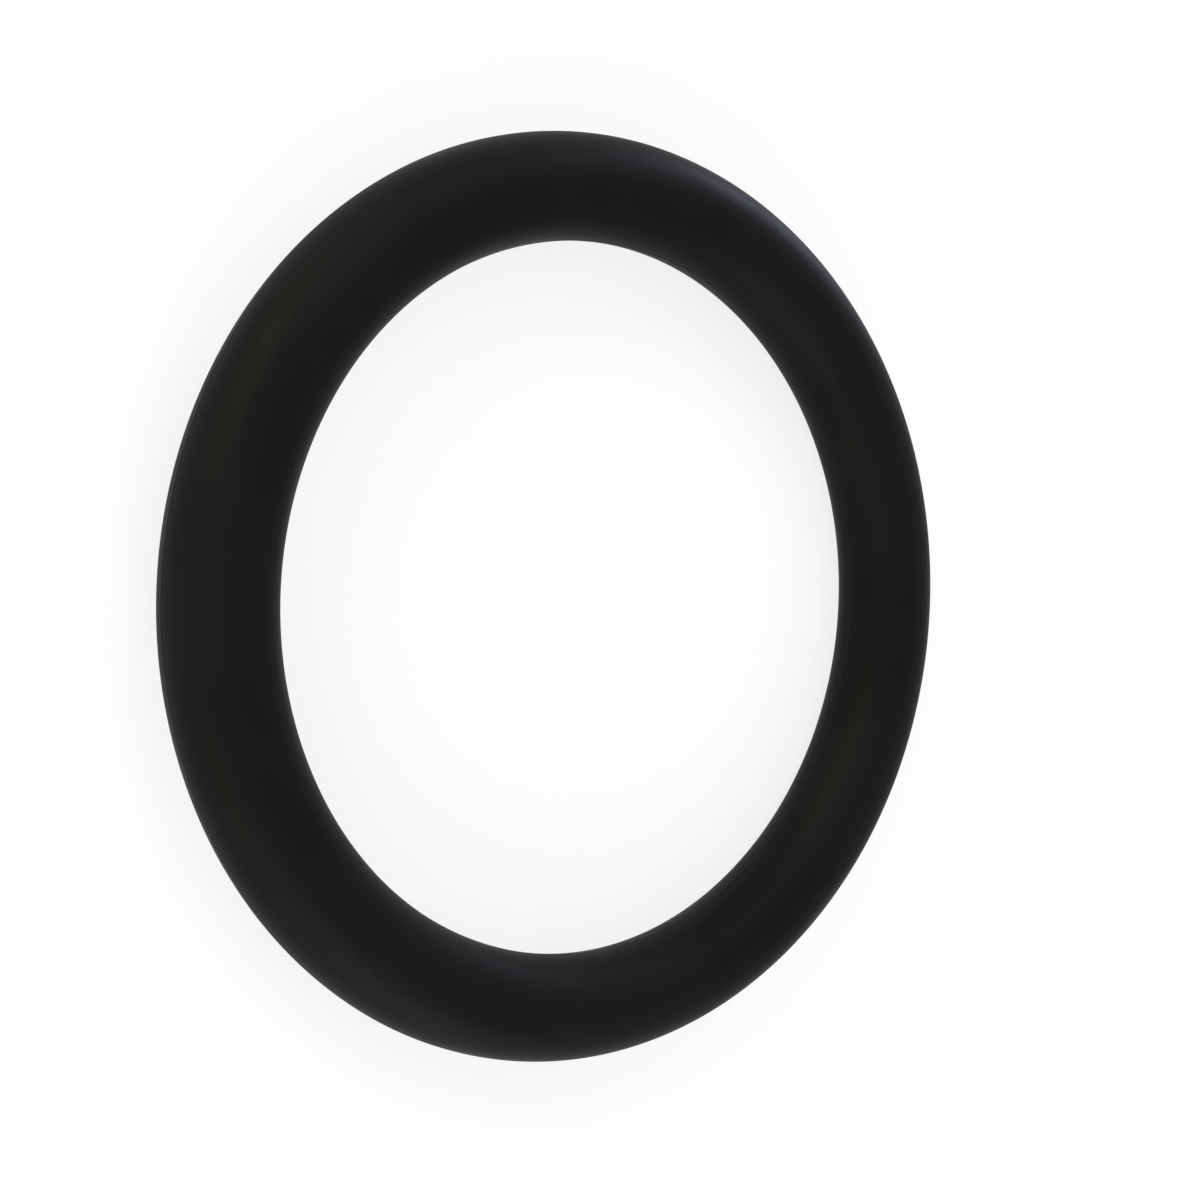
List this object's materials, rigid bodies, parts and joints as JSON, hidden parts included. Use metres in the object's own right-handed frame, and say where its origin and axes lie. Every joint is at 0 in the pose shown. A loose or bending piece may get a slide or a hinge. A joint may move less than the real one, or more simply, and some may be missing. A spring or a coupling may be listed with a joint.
{
  "type": "rubber o-ring",
  "caption": "Sealing ring of solid black rubber with a round section, moulded in one piece, with a fine trimmed parting line at its bore and at its rim.",
  "frame": {"origin": "centre of the ring, in the plane where the two halves of its mould met", "axes": "+Z along the ring's axis. X and Y lie in the ring's plane, and the ring is the same at every turn about Z, so their direction is free. The ring lies flat, as it rests on a table"},
  "size_m": [0.0314, 0.0314, 0.0036],
  "materials": {
    "rubber": "satin"
  },
  "bodies": {
    "root": {"o_ring": "rubber"}
  },
  "joints": []
}
